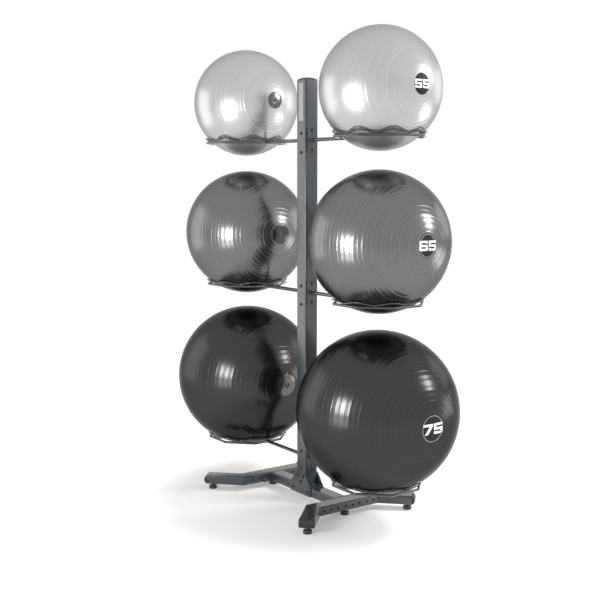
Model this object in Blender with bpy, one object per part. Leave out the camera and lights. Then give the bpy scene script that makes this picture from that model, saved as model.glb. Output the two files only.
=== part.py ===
# Exercise ball rack: a steel post on an H-shaped foot frame carries six wire cradles,
# three a side, and each cradle holds one inflated ball.
# Metres, +Z up. The origin is on the floor under the post and the cradle arms run along X,
# so the right side of the rack is +X and its front is -Y.
import math

import bmesh
import bpy
from mathutils import Matrix, Vector

# Fits
gap = 0.0003                  # space between two pieces that touch
hole_play = 0.0005            # how much wider than its bolt a hole is, on the radius
weld_sink = 0.0005            # how deep a welded-on piece runs into its neighbour
drill_past = 0.012            # how far a drill runs past the face that it starts or ends at
same_point = 0.00005          # points closer than this are one point

# Box section of the legs and the beam
section_width = 0.075
section_height = 0.045
section_wall = 0.003
section_corner = 0.004
ground_clearance = 0.031      # floor to the underside of the legs and beam

# Legs, measured on their centrelines
leg_spacing = 0.622
leg_straight = 0.3776         # length of the middle run, between the two mitres
leg_arm = 0.184               # mitre to tube end
leg_splay = math.radians(45)  # how far each end run turns away from the rack
leg_hole_pitch = 0.043
leg_hole_count = 8
leg_hole_diameter = 0.0105
flange_bolt_place = 1.5       # the flange bolts lie this many hole pitches from the middle

# Plastic end caps of the legs
nose_length = 0.016
nose_corner = 0.008
nose_stations = (0.0, 0.45, 0.85, 1.0)  # where along the nose its outline is drawn
cap_insert = 0.015

# Levelling feet
foot_diameter = 0.042
foot_height = 0.017
foot_rim_height = 0.01275
foot_shoulder = 0.0019        # flat of the pad round the nut
foot_chamfer = 0.0015
foot_nut_diameter = 0.019
foot_nut_height = 0.006
foot_stud_diameter = 0.010
foot_stud_top = 0.058         # height of the stud's end above the floor
foot_inset = 0.023            # tube end to the foot's axis

# Beam between the legs
flange_length = 0.175
flange_thickness = 0.006

# Post
post_wall = 0.003
post_corner = 0.004
post_over_arm = 0.288         # the top tier's arms to the tube's end
post_plate_length = 0.195
post_plate_width = 0.071
post_plate_thickness = 0.006
post_plate_bolt = 0.062       # distance of each plate bolt from the post's axis
post_ring_past = 0.0116       # the tube has a ring of points this far past each cradle's plate
post_cap_rise = 0.011
post_cap_edge = 0.0015
post_cap_flat = 0.030
post_cap_insert = 0.015

# Gussets on the front and back of the post's foot
gusset_thickness = 0.0045
gusset_half_width = 0.087
gusset_shoulder = 0.040       # height of its straight sides
gusset_height = 0.106
gusset_pair_offset = 0.0205   # sideways place of the two upper post bolts
gusset_pair_drop = 0.015      # how far the two upper post bolts lie under its top edge
gusset_single_rise = 0.0107    # the single post bolt over the top of the post's foot plate
gusset_beam_offset = 0.065

# Bolts
bolt_diameter = 0.008
bolt_head_flats = 0.013
bolt_head_height = 0.0053
bolt_nut_height = 0.0065
bolt_end = 0.002
bolt_sides = 6

# Cradles
cradle_reach = 0.5535         # post axis to cradle centre
frame_sides = 8
frame_apothem = 0.195         # cradle centre to the middle of a side, on the rod's centreline
frame_rod = 0.013
frame_bend = 0.020
arm_diameter = 0.018
plate_width = 0.058
plate_thickness = 0.006
plate_bolt_spacing = 0.092
plate_edge = 0.012            # each of its bolts to the plate's nearer end
cross_bolt_drop = 0.0145      # the bolts along Y pass this far below those along X
gusset_to_bolt = 0.0217       # the gussets' top edge to the lowest bolt along Y

# Wavy wire on each cradle, one hump over each corner of the octagon
wire_diameter = 0.007
wire_rise = 0.012
wire_peak_clearance = 0.0018  # least space between a hump and the largest ball

# Balls
ball_wall = 0.0015
valve_radius = 0.005
valve_wall = 0.003
valve_depth = 0.012
well_margin = 0.002           # space round the plug's head in the well that it sits in
well_draft = 0.0008           # how much narrower the well's floor is, on the radius
well_depth = 0.0035
plug_head_diameter = 0.024
plug_head_height = 0.0022
plug_grip_diameter = 0.010
plug_grip_height = 0.0035
plug_grip_chamfer = 0.0014
plug_head_chamfer = 0.0011
plug_stem = 0.011
plug_stem_taper = 0.0022      # length of the stem's narrowed end
plug_stem_narrowing = 0.0014

# Tiers, from the floor up: their balls and the space that parts them from the balls below
bottom_ball = 0.75
mid_ball = 0.65
top_ball = 0.55
mid_ball_space = 0.0763
top_ball_space = 0.0800
sides = (("right", 1), ("left", -1))
fronts = (("front", -1), ("back", 1))

# Facets
hole_facets = 8
covered_hole_facets = 6       # holes that a bolt head or a nut covers
rod_facets = 8
arm_facets = 8
wire_facets = 5
wire_steps = 5                # points along each hump
wire_roll = math.radians(135)  # one edge of the wire's facets points in and up, at the ball
ball_meridians = 16
ball_step = math.radians(30)   # widest step between a ball's rings
foot_facets = 8
plug_facets = 6

# Sizes that follow from those above
section_top = ground_clearance + section_height
section_middle = ground_clearance + section_height / 2
post_width = section_width    # the gussets lie flat on the post and the beam
leg_x = leg_spacing / 2
leg_inner_x = leg_x - section_width / 2
bolt_radius = bolt_diameter / 2
bolt_hole = bolt_radius + hole_play
plate_z = section_top + gap
post_foot = plate_z + post_plate_thickness
wire_radius = wire_diameter / 2
trough_height = frame_rod / 2 + wire_radius + gap
flange_bolt_y = flange_bolt_place * leg_hole_pitch
half_step = math.pi / frame_sides
hump_count = frame_sides
gusset_top = ground_clearance + gusset_height
plate_height = plate_bolt_spacing + 2 * plate_edge
well_radius = plug_head_diameter / 2 + well_margin


def ball_depth(diameter):
    # Height of a seated ball's centre over the wire's low points
    reach = diameter / 2 + wire_radius + gap
    return math.sqrt(reach ** 2 - frame_apothem ** 2)


def stack_tiers():
    # Name, height of the cradle arms and ball diameter of each tier, from the floor up
    lowest = gusset_top + gusset_to_bolt + cross_bolt_drop + plate_bolt_spacing / 2
    found = [("bottom", lowest, bottom_ball)]
    for name, ball, space in (("mid", mid_ball, mid_ball_space), ("top", top_ball, top_ball_space)):
        below, arm_height, ball_below = found[-1]
        crown = arm_height + ball_depth(ball_below) + ball_below / 2
        hang = ball / 2 - ball_depth(ball)
        found.append((name, crown + space + hang, ball))
    return found


tiers = stack_tiers()
post_top = tiers[-1][1] + post_over_arm


def material(name, colour, roughness, metallic=0.0):
    made = bpy.data.materials.new(name)
    made.use_nodes = True
    shader = made.node_tree.nodes["Principled BSDF"]
    shader.inputs["Base Color"].default_value = (*colour, 1.0)
    shader.inputs["Roughness"].default_value = roughness
    shader.inputs["Metallic"].default_value = metallic
    return made


def polygon(radius, facets, turn=0.0):
    step = 2 * math.pi / facets
    return [(radius * math.cos(i * step + turn), radius * math.sin(i * step + turn)) for i in range(facets)]


def rectangle(width, height, corner):
    # A rectangle whose corners are cut off, as eight points
    across = width / 2
    up = height / 2
    return [
        (across, corner - up), (across, up - corner), (across - corner, up), (corner - across, up),
        (-across, up - corner), (-across, corner - up), (corner - across, -up), (across - corner, -up),
    ]


def ring(outline, centre, across, up):
    # Places a flat outline in space, on the two directions given
    centre, across, up = Vector(centre), Vector(across), Vector(up)
    return [centre + across * u + up * v for u, v in outline]


def skin(rings, closed=False):
    # Joins rings of as many points each into one surface, and fills its ends unless it closes on itself
    bm = bmesh.new()
    loops = [[bm.verts.new(point) for point in points] for points in rings]
    pairs = list(zip(loops, loops[1:]))
    if closed:
        pairs.append((loops[-1], loops[0]))
    else:
        bm.faces.new(loops[0])
        bm.faces.new(loops[-1])
    for first, second in pairs:
        count = len(first)
        for i in range(count):
            j = (i + 1) % count
            bm.faces.new((first[i], first[j], second[j], second[i]))
    bmesh.ops.recalc_face_normals(bm, faces=bm.faces)
    return bm


def turned(profile, facets):
    # Spins a profile of radii and heights about Z
    bm = bmesh.new()
    points = [bm.verts.new((radius, 0, height)) for radius, height in profile]
    lines = [bm.edges.new(pair) for pair in zip(points, points[1:])]
    bmesh.ops.spin(bm, geom=points + lines, cent=(0, 0, 0), axis=(0, 0, 1), angle=2 * math.pi, steps=facets)
    bmesh.ops.remove_doubles(bm, verts=bm.verts, dist=same_point)
    bmesh.ops.recalc_face_normals(bm, faces=bm.faces)
    return bm


def slab(outline, thickness, place):
    # A flat plate: an outline in the plane of X and Y, pulled up by its thickness, then placed
    bm = bmesh.new()
    face = bm.faces.new([bm.verts.new((u, v, 0)) for u, v in outline])
    pulled = bmesh.ops.extrude_face_region(bm, geom=[face])
    risen = [item for item in pulled["geom"] if isinstance(item, bmesh.types.BMVert)]
    bmesh.ops.translate(bm, verts=risen, vec=(0, 0, thickness))
    bmesh.ops.recalc_face_normals(bm, faces=bm.faces)
    bmesh.ops.transform(bm, verts=bm.verts, matrix=place)
    return bm


def rods(ends, radius, facets, turn=0.0):
    # Round bars, each between the two points given
    bm = bmesh.new()
    for start, stop in ends:
        start, stop = Vector(start), Vector(stop)
        along = stop - start
        place = Matrix.Translation((start + stop) / 2) @ along.to_track_quat("Z", "Y").to_matrix().to_4x4()
        place = place @ Matrix.Rotation(turn, 4, "Z")
        size = {"radius1": radius, "radius2": radius, "depth": along.length}
        bmesh.ops.create_cone(bm, cap_ends=True, segments=facets, matrix=place, **size)
    return bm


def mesh_from(bm, name):
    mesh = bpy.data.meshes.new(name)
    bm.to_mesh(mesh)
    bm.free()
    return mesh


def shaped(name, bm, unions=(), cuts=()):
    # Welds pieces on to a body, then cuts holes in it, and returns the finished mesh
    body = bpy.data.objects.new(name + "_blank", mesh_from(bm, name + "_blank"))
    bpy.context.scene.collection.objects.link(body)
    tools = []
    for operation, shapes in (("UNION", unions), ("DIFFERENCE", cuts)):
        for shape in shapes:
            tool = bpy.data.objects.new(name + "_tool", mesh_from(shape, name + "_tool"))
            tool.hide_render = True
            tool.display_type = "WIRE"
            bpy.context.scene.collection.objects.link(tool)
            tools.append(tool)
            step = body.modifiers.new(operation.lower(), "BOOLEAN")
            step.operation = operation
            step.solver = "EXACT"
            step.object = tool
    graph = bpy.context.evaluated_depsgraph_get()
    mesh = bpy.data.meshes.new_from_object(body.evaluated_get(graph))
    bm = bmesh.new()
    bm.from_mesh(mesh)
    bmesh.ops.remove_doubles(bm, verts=bm.verts, dist=same_point)
    bm.to_mesh(mesh)
    bm.free()
    for spare in [body] + tools:
        bpy.data.objects.remove(spare)
    mesh.name = name
    return mesh


def put(name, mesh, finish, place=(0, 0, 0), turn=0.0, parent=None, sharp=40):
    # Adds a piece to the scene, smooth where its faces meet gently
    if not mesh.materials:
        mesh.materials.append(finish)
        mesh.shade_smooth()
        mesh.set_sharp_from_angle(angle=math.radians(sharp))
    piece = bpy.data.objects.new(name, mesh)
    bpy.context.scene.collection.objects.link(piece)
    piece.location = place
    piece.rotation_euler = (0, 0, turn)
    piece.parent = parent
    return piece


def inner_corner(corner, wall):
    # Corner of a box tube's bore
    return corner - wall / 2


def hollow_run(stations, width, height, corner, wall):
    # A box tube along stations of centre, across and up, open at both ends
    outer = rectangle(width, height, corner)
    inner = rectangle(width - 2 * wall, height - 2 * wall, inner_corner(corner, wall))
    rings = [ring(outer, *station) for station in stations]
    rings += [ring(inner, *station) for station in reversed(stations)]
    return skin(rings, closed=True)


def bolt(head_face, nut_face):
    # A hex bolt from the face under its head to the face under its nut, which it passes by its end
    head_face, nut_face = Vector(head_face), Vector(nut_face)
    along = (nut_face - head_face).normalized()
    across = along.orthogonal().normalized()
    up = along.cross(across)
    corners = bolt_head_flats / math.sqrt(3)
    shank = polygon(bolt_radius, bolt_sides)
    hexagon = polygon(corners, bolt_sides)
    head_under = head_face - along * gap
    nut_under = nut_face + along * gap
    steps = (
        (hexagon, head_under - along * bolt_head_height),
        (hexagon, head_under),
        (shank, head_under),
        (shank, nut_under),
        (hexagon, nut_under),
        (hexagon, nut_under + along * bolt_nut_height),
        (shank, nut_under + along * bolt_nut_height),
        (shank, nut_under + along * (bolt_nut_height + bolt_end)),
    )
    return skin([ring(outline, centre, across, up) for outline, centre in steps])


def make_leg():
    # Box tube with its two end runs mitred outward, holes along its straight run and the flange bolts
    lean = leg_splay / 2
    half = leg_straight / 2
    stations = []
    for way in (-1, 1):
        end = (leg_arm * math.sin(leg_splay), way * (half + leg_arm * math.cos(leg_splay)), section_middle)
        end_across = (math.cos(leg_splay), -way * math.sin(leg_splay), 0)
        stretch = 1 / math.cos(lean)
        mitre_across = (math.cos(lean) * stretch, -way * math.sin(lean) * stretch, 0)
        pair = [(end, end_across, (0, 0, 1)), ((0, way * half, section_middle), mitre_across, (0, 0, 1))]
        stations += pair if way < 0 else pair[::-1]
    body = hollow_run(stations, section_width, section_height, section_corner, section_wall)
    through = section_width
    holes = []
    bolts = []
    for i in range(leg_hole_count):
        y = (i - (leg_hole_count - 1) / 2) * leg_hole_pitch
        if abs(abs(y) - flange_bolt_y) > leg_hole_diameter:
            holes.append(((-through, y, section_middle), (through, y, section_middle)))
    outside = section_width / 2
    inside = -outside - gap - flange_thickness
    for way in (-1, 1):
        y = way * flange_bolt_y
        head = (outside - gap - weld_sink, y, section_middle)
        bolts.append(bolt(head, (inside, y, section_middle)))
    studs = []
    for x, y in foot_places():
        studs.append(((x, y, 0), (x, y, section_middle)))
    stud_hole = foot_stud_diameter / 2 + gap
    cuts = [rods(holes, leg_hole_diameter / 2, hole_facets), rods(studs, stud_hole, foot_facets)]
    return shaped("leg", body, bolts, cuts)


def foot_places():
    # The three feet of a leg, from the leg's own middle
    run = leg_arm - foot_inset
    side = run * math.sin(leg_splay)
    out = leg_straight / 2 + run * math.cos(leg_splay)
    return ((side, -out), (0, 0), (side, out))


def make_leg_cap():
    # Plug-in cap: an insert that fills the tube and a half-round nose of the tube's full height
    clear = 2 * (section_wall + gap)
    corner = inner_corner(section_corner, section_wall)
    insert = rectangle(section_width - clear, section_height - clear, corner)
    sweep = ((section_height / 2) ** 2 + nose_length ** 2) / (2 * nose_length)
    steps = [(insert, -cap_insert), (insert, gap)]
    for share in nose_stations:
        x = nose_length * share
        half_height = math.sqrt(sweep ** 2 - (sweep - nose_length + x) ** 2)
        half_height = max(half_height, section_corner / 2)
        past = max(0.0, x - (nose_length - nose_corner))
        pull_in = nose_corner - math.sqrt(nose_corner ** 2 - past ** 2)
        corner = min(section_corner, half_height / 2)
        steps.append((rectangle(section_width - 2 * pull_in, 2 * half_height, corner), x + gap))
    rings = [ring(outline, (x, 0, 0), (0, 1, 0), (0, 0, 1)) for outline, x in steps]
    return mesh_from(skin(rings), "leg_cap")


def make_foot():
    # Round pad, the nut above it and the stud that screws up into the leg
    pad = foot_diameter / 2
    nut = foot_nut_diameter / 2
    stud = foot_stud_diameter / 2
    profile = (
        (0, 0), (pad - foot_chamfer, 0), (pad, foot_chamfer), (pad, foot_rim_height),
        (nut + foot_shoulder, foot_height), (nut, foot_height), (nut, foot_height + foot_nut_height),
        (stud, foot_height + foot_nut_height), (stud, foot_stud_top), (0, foot_stud_top),
    )
    return mesh_from(turned(profile, foot_facets), "foot")


def make_beam():
    # Box tube between the legs with a flange plate welded on each end
    reach = leg_inner_x - gap
    tube_end = reach - flange_thickness + weld_sink
    stations = [((x, 0, section_middle), (0, 1, 0), (0, 0, 1)) for x in (-tube_end, tube_end)]
    body = hollow_run(stations, section_width, section_height, section_corner, section_wall)
    outline = rectangle(section_height, flange_length, section_corner)
    flanges = []
    for way in (-1, 1):
        start = reach - flange_thickness if way > 0 else -reach
        place = Matrix.Translation((start, 0, section_middle)) @ Matrix.Rotation(math.pi / 2, 4, "Y")
        flanges.append(slab(outline, flange_thickness, place))
    flange_holes = []
    for x in (-1, 1):
        for y in (-flange_bolt_y, flange_bolt_y):
            inside = x * (reach - drill_past)
            flange_holes.append(((inside, y, section_middle), (x * leg_x, y, section_middle)))
    side_holes = []
    top_holes = []
    for way in (-1, 1):
        x = way * gusset_beam_offset
        side_holes.append(((x, -section_width, section_middle), (x, section_width, section_middle)))
        x = way * post_plate_bolt
        top_holes.append(((x, 0, section_middle), (x, 0, post_foot)))
    cuts = [rods(ends, bolt_hole, covered_hole_facets) for ends in (flange_holes, side_holes, top_holes)]
    return shaped("beam", body, flanges, cuts)


def bolt_rows():
    # Heights of the bolts in the post: those along X hold the cradles, those along Y cross under them
    along_x = []
    along_y = []
    for tier, arm_height, diameter in tiers:
        for row, way in (("upper", 1), ("lower", -1)):
            height = arm_height + way * plate_bolt_spacing / 2
            along_x.append((tier + "_" + row, height))
            along_y.append((tier + "_" + row, height - cross_bolt_drop))
    return along_x, along_y


def gusset_bolts():
    # Where the gusset bolts run along Y: name, x and height
    return (
        ("post_right", gusset_pair_offset, gusset_top - gusset_pair_drop),
        ("post_left", -gusset_pair_offset, gusset_top - gusset_pair_drop),
        ("post_middle", 0.0, post_foot + gusset_single_rise),
        ("beam_right", gusset_beam_offset, section_middle),
        ("beam_left", -gusset_beam_offset, section_middle),
    )


def make_post():
    # Square tube welded on a foot plate, with the plate's two bolts and the holes for all the others
    heights = [post_foot - weld_sink]
    for tier, arm_height, diameter in tiers:
        past = plate_height / 2 + post_ring_past
        heights += [arm_height - past, arm_height + past]
    heights.append(post_top)
    stations = [((0, 0, z), (1, 0, 0), (0, 1, 0)) for z in heights]
    body = hollow_run(stations, post_width, post_width, post_corner, post_wall)
    outline = rectangle(post_plate_length, post_plate_width, section_corner)
    plate = slab(outline, post_plate_thickness, Matrix.Translation((0, 0, plate_z)))
    bolts = []
    for x in (-post_plate_bolt, post_plate_bolt):
        head = (x, 0, post_foot - gap - weld_sink)
        bolts.append(bolt(head, (x, 0, section_top - section_wall)))
    through = post_width
    along_x, along_y = bolt_rows()
    x_holes = [((-through, 0, z), (through, 0, z)) for name, z in along_x]
    y_holes = [((0, -through, z), (0, through, z)) for name, z in along_y]
    for name, x, z in gusset_bolts():
        if name.startswith("post"):
            y_holes.append(((x, -through, z), (x, through, z)))
    cuts = [rods(ends, bolt_hole, covered_hole_facets) for ends in (x_holes, y_holes)]
    return shaped("post", body, [plate] + bolts, cuts)


def make_post_cap():
    # Low pyramid with a flat top, on an insert that fills the tube
    clear = 2 * (post_wall + gap)
    insert = rectangle(post_width - clear, post_width - clear, inner_corner(post_corner, post_wall))
    edge = rectangle(post_width, post_width, post_corner)
    flat = rectangle(post_cap_flat, post_cap_flat, post_corner)
    steps = (
        (insert, -post_cap_insert), (insert, gap), (edge, gap), (edge, gap + post_cap_edge),
        (flat, post_cap_rise),
    )
    rings = [ring(outline, (0, 0, z), (1, 0, 0), (0, 1, 0)) for outline, z in steps]
    return mesh_from(skin(rings), "post_cap")


def make_gusset():
    # Plate whose sides slope in from the beam to the post, drawn in X and Z, front face at y = 0
    top = post_width / 2
    outline = [
        (-gusset_half_width, 0), (gusset_half_width, 0), (gusset_half_width, gusset_shoulder),
        (top, gusset_height), (-top, gusset_height), (-gusset_half_width, gusset_shoulder),
    ]
    upright = Matrix.Rotation(math.pi / 2, 4, "X")
    upright.translation = (0, gusset_thickness, ground_clearance)
    plate = slab(outline, gusset_thickness, upright)
    holes = [((x, -section_width, z), (x, section_width, z)) for name, x, z in gusset_bolts()]
    return shaped("gusset", plate, [], [rods(holes, bolt_hole, covered_hole_facets)])


def octagon_path(apothem, bend):
    # Centreline of the bent rod: two points at each corner, where its bend starts and ends
    corner_radius = apothem / math.cos(half_step)
    cut = bend * math.tan(half_step)
    points = []
    for i in range(frame_sides):
        angle = half_step * (2 * i + 1)
        corner = Vector((math.cos(angle), math.sin(angle), 0)) * corner_radius
        for way in (-1, 1):
            side = angle + way * (math.pi / 2 + half_step)
            points.append(corner + Vector((math.cos(side), math.sin(side), 0)) * cut)
    return points


def wire_path():
    # Centreline of the wavy wire: low at the sides of the octagon, raised and leaning out at its corners
    largest = max(bottom_ball, mid_ball, top_ball)
    reach = largest / 2 + wire_radius + gap
    peak_radius = math.sqrt(reach ** 2 - (ball_depth(largest) - wire_rise) ** 2) + wire_peak_clearance
    count = hump_count * wire_steps
    points = []
    for i in range(count):
        angle = 2 * math.pi * i / count
        swell = (1 - math.cos(hump_count * angle)) / 2
        radius = frame_apothem + (peak_radius - frame_apothem) * swell
        height = trough_height + wire_rise * swell
        points.append(Vector((radius * math.cos(angle), radius * math.sin(angle), height)))
    return points


def closed_rod(points, radius, facets, turn=0.0):
    # A round rod along a closed path
    outline = polygon(radius, facets, turn)
    rings = []
    count = len(points)
    for i in range(count):
        along = (points[(i + 1) % count] - points[i - 1]).normalized()
        across = along.cross(Vector((0, 0, 1))).normalized()
        rings.append(ring(outline, points[i], across, across.cross(along)))
    return skin(rings, closed=True)


def make_cradle():
    # Octagon of bent rod, its arm and the plate that bolts to the post, all welded together
    frame = closed_rod(octagon_path(frame_apothem, frame_bend), frame_rod / 2, rod_facets)
    bmesh.ops.translate(frame, verts=frame.verts, vec=(cradle_reach, 0, 0))
    inner_face = post_width / 2 + gap
    outline = rectangle(plate_height, plate_width, section_corner)
    place = Matrix.Translation((inner_face, 0, 0)) @ Matrix.Rotation(math.pi / 2, 4, "Y")
    plate = slab(outline, plate_thickness, place)
    start = inner_face + plate_thickness / 2
    stop = cradle_reach - frame_apothem - wire_radius - 2 * gap
    arm = rods([((start, 0, 0), (stop, 0, 0))], arm_diameter / 2, arm_facets)
    half = plate_bolt_spacing / 2
    holes = [((0, 0, z), (start + drill_past, 0, z)) for z in (-half, half)]
    return shaped("cradle", arm, [frame, plate], [rods(holes, bolt_hole, covered_hole_facets)])


def make_wire():
    body = closed_rod(wire_path(), wire_radius, wire_facets, wire_roll)
    bmesh.ops.translate(body, verts=body.verts, vec=(cradle_reach, 0, 0))
    return mesh_from(body, "cradle_wire")


def well_floor(diameter):
    # Distance from the ball's centre to the floor of the well that its plug sits in
    return math.sqrt((diameter / 2) ** 2 - well_radius ** 2) - well_depth


def make_ball(diameter):
    # Thin hollow ball turned about X: the plug's well and the valve neck face the post at -X
    radius = diameter / 2
    seat = math.acos(frame_apothem / (radius + wire_radius + gap))
    stops = (0.0, seat, math.pi / 2, math.pi - seat, math.pi - math.asin(well_radius / radius))
    angles = [0.0]
    for start, stop in zip(stops, stops[1:]):
        count = math.ceil((stop - start) / ball_step)
        angles += [start + (stop - start) * (i + 1) / count for i in range(count)]
    shell = radius - ball_wall
    floor = -well_floor(diameter)
    base = well_radius - well_draft
    neck = valve_radius + valve_wall
    inner_rim = math.pi - math.asin((well_radius + ball_wall) / shell)
    profile = [(radius * math.sin(a), radius * math.cos(a)) for a in angles]
    profile[0] = (0, radius)
    profile += [
        (base, floor), (valve_radius, floor), (valve_radius, floor + valve_depth),
        (neck, floor + valve_depth), (base + ball_wall, floor + ball_wall),
    ]
    inside = angles[:-1] + [inner_rim]
    profile += [(shell * math.sin(a), shell * math.cos(a)) for a in reversed(inside)]
    profile[-1] = (0, shell)
    bm = turned(profile, ball_meridians)
    bmesh.ops.rotate(bm, verts=bm.verts, matrix=Matrix.Rotation(math.pi / 2, 3, "Y"))
    return mesh_from(bm, "ball")


def make_plug():
    # Valve plug: a flat head with a round grip, and a stem that fills the neck
    head = plug_head_diameter / 2
    grip = plug_grip_diameter / 2
    stem = valve_radius - gap
    top = plug_head_height + plug_grip_height
    shoulder = top - plug_grip_chamfer
    edge = plug_head_height - plug_head_chamfer
    profile = (
        (0, top), (grip - plug_grip_chamfer, top), (grip, shoulder), (grip, plug_head_height),
        (head - plug_head_chamfer, plug_head_height), (head, edge), (head, 0), (stem, 0),
        (stem, plug_stem_taper - plug_stem), (stem - plug_stem_narrowing, -plug_stem), (0, -plug_stem),
    )
    bm = turned(profile, plug_facets)
    bmesh.ops.rotate(bm, verts=bm.verts, matrix=Matrix.Rotation(-math.pi / 2, 3, "Y"))
    return mesh_from(bm, "plug")


def build_base(paint, plastic, rubber, zinc):
    leg_mesh = make_leg()
    cap_mesh = make_leg_cap()
    foot_mesh = make_foot()
    end_x = leg_arm * math.sin(leg_splay)
    end_y = leg_straight / 2 + leg_arm * math.cos(leg_splay)
    for side, way in sides:
        facing = 0.0 if way > 0 else math.pi
        leg = put("leg_" + side, leg_mesh, paint, (way * leg_x, 0, 0), facing)
        for front, along in fronts:
            local = way * along
            lean = local * (math.pi / 2 - leg_splay)
            place = (end_x, local * end_y, section_middle)
            put("leg_cap_" + side + "_" + front, cap_mesh, plastic, place, lean, leg)
            foot_x, foot_y = foot_places()[2]
            put("foot_" + side + "_" + front, foot_mesh, rubber, (foot_x, local * foot_y, 0), 0.0, leg)
        put("foot_" + side + "_middle", foot_mesh, rubber, (0, 0, 0), 0.0, leg)
    put("central_beam", make_beam(), paint)
    gusset_mesh = make_gusset()
    for front, along in fronts:
        shift = post_width / 2 + gap if along > 0 else -post_width / 2 - gap - gusset_thickness
        put("gusset_" + front, gusset_mesh, paint, (0, shift, 0))
    face = post_width / 2 + gap + gusset_thickness
    bolt_mesh = mesh_from(bolt((0, -face, 0), (0, face, 0)), "gusset_bolt")
    for name, x, z in gusset_bolts():
        put("gusset_bolt_" + name, bolt_mesh, zinc, (x, 0, z))


def build_post(paint, plastic, zinc):
    post = put("post", make_post(), paint)
    put("post_cap", make_post_cap(), plastic, (0, 0, post_top), 0.0, post)
    along_x, along_y = bolt_rows()
    plate_face = post_width / 2 + gap + plate_thickness
    post_face = post_width / 2
    plate_bolt = mesh_from(bolt((plate_face, 0, 0), (-plate_face, 0, 0)), "cradle_bolt")
    cross_bolt = mesh_from(bolt((0, -post_face, 0), (0, post_face, 0)), "cross_bolt")
    for name, z in along_x:
        put("cradle_bolt_" + name, plate_bolt, zinc, (0, 0, z), 0.0, post)
    for name, z in along_y:
        put("cross_bolt_" + name, cross_bolt, zinc, (0, 0, z), 0.0, post)
    return post


def build_tiers(post, paint, vinyls, plug_finish):
    cradle_mesh = make_cradle()
    wire_mesh = make_wire()
    plug_mesh = make_plug()
    for tier, arm_height, diameter in tiers:
        ball_mesh = make_ball(diameter)
        height = arm_height + trough_height + ball_depth(diameter)
        for side, way in sides:
            facing = 0.0 if way > 0 else math.pi
            level = (0, 0, arm_height)
            cradle = put("cradle_" + tier + "_" + side, cradle_mesh, paint, level, facing, post)
            put("cradle_wire_" + tier + "_" + side, wire_mesh, paint, (0, 0, 0), 0.0, cradle)
            place = (way * cradle_reach, 0, height)
            ball = put("ball_" + tier + "_" + side, ball_mesh, vinyls[tier], place, facing)
            seat = (-well_floor(diameter) - gap, 0, 0)
            put("plug_" + tier + "_" + side, plug_mesh, plug_finish, seat, 0.0, ball)


def main():
    for old in list(bpy.data.objects):
        bpy.data.objects.remove(old)
    paint = material("slate_paint", (0.105, 0.115, 0.122), 0.38, 0.35)
    plastic = material("cap_plastic", (0.045, 0.045, 0.045), 0.55)
    rubber = material("foot_rubber", (0.02, 0.02, 0.02), 0.7)
    zinc = material("bolt_steel", (0.16, 0.16, 0.17), 0.4, 0.9)
    plug_finish = material("plug_plastic", (0.05, 0.05, 0.055), 0.4)
    vinyls = {
        "top": material("silver_vinyl", (0.55, 0.55, 0.55), 0.22),
        "mid": material("grey_vinyl", (0.19, 0.19, 0.19), 0.22),
        "bottom": material("charcoal_vinyl", (0.045, 0.045, 0.045), 0.22),
    }
    build_base(paint, plastic, rubber, zinc)
    post = build_post(paint, plastic, zinc)
    build_tiers(post, paint, vinyls, plug_finish)


main()
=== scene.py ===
from math import asin, cos, hypot, pi, radians, sin, sqrt, tan

import bmesh
import bpy
from mathutils import Matrix, Vector
from mathutils.geometry import tessellate_polygon


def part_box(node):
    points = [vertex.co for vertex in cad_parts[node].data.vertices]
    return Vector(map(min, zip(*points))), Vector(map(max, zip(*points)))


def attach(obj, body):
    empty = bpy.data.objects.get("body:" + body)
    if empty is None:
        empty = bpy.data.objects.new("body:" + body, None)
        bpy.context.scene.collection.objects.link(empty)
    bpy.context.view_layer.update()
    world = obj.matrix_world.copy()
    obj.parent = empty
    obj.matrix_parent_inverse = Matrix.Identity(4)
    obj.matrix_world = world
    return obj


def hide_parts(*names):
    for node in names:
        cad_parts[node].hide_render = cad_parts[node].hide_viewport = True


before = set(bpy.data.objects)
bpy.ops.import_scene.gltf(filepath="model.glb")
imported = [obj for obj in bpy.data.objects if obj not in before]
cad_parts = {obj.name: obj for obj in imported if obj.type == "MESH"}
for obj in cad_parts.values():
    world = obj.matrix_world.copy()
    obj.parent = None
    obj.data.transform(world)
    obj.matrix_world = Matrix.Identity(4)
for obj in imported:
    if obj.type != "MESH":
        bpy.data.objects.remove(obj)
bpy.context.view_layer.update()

up = Vector((0, 0, 1))
lying = ((1, 0, 0), (0, 1, 0))  # across and up of an outline that lies flat
facing = ((1, 0, 0), (0, 0, 1))  # of one that faces the front
endOn = ((0, 1, 0), (0, 0, 1))  # of one that faces along X
upended = ((0, 0, 1), (0, 1, 0))  # of one that faces along X, with its width upright
sides = (("right", 1, 0.0), ("left", -1, pi))  # name, way along X and turn about Z
fronts = (("front", -1), ("back", 1))
tiers = ("bottom", "mid", "top")
hair = 0.0003  # space between two pieces that touch
print("frame loaded:", len(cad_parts), "nodes")


# Shader maths: a Sock is one value in a node graph, and an expression on Socks adds its Math nodes
def operator(operation, reflected=False):
    def joined(self, other):
        return self.graph.maths(operation, *((other, self) if reflected else (self, other)))

    return joined


class Sock:
    def __init__(self, graph, link):
        self.graph = graph
        self.link = link

    __add__, __radd__ = operator("ADD"), operator("ADD", True)
    __sub__, __rsub__ = operator("SUBTRACT"), operator("SUBTRACT", True)
    __mul__, __rmul__ = operator("MULTIPLY"), operator("MULTIPLY", True)
    __truediv__, __rtruediv__ = operator("DIVIDE"), operator("DIVIDE", True)


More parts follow.
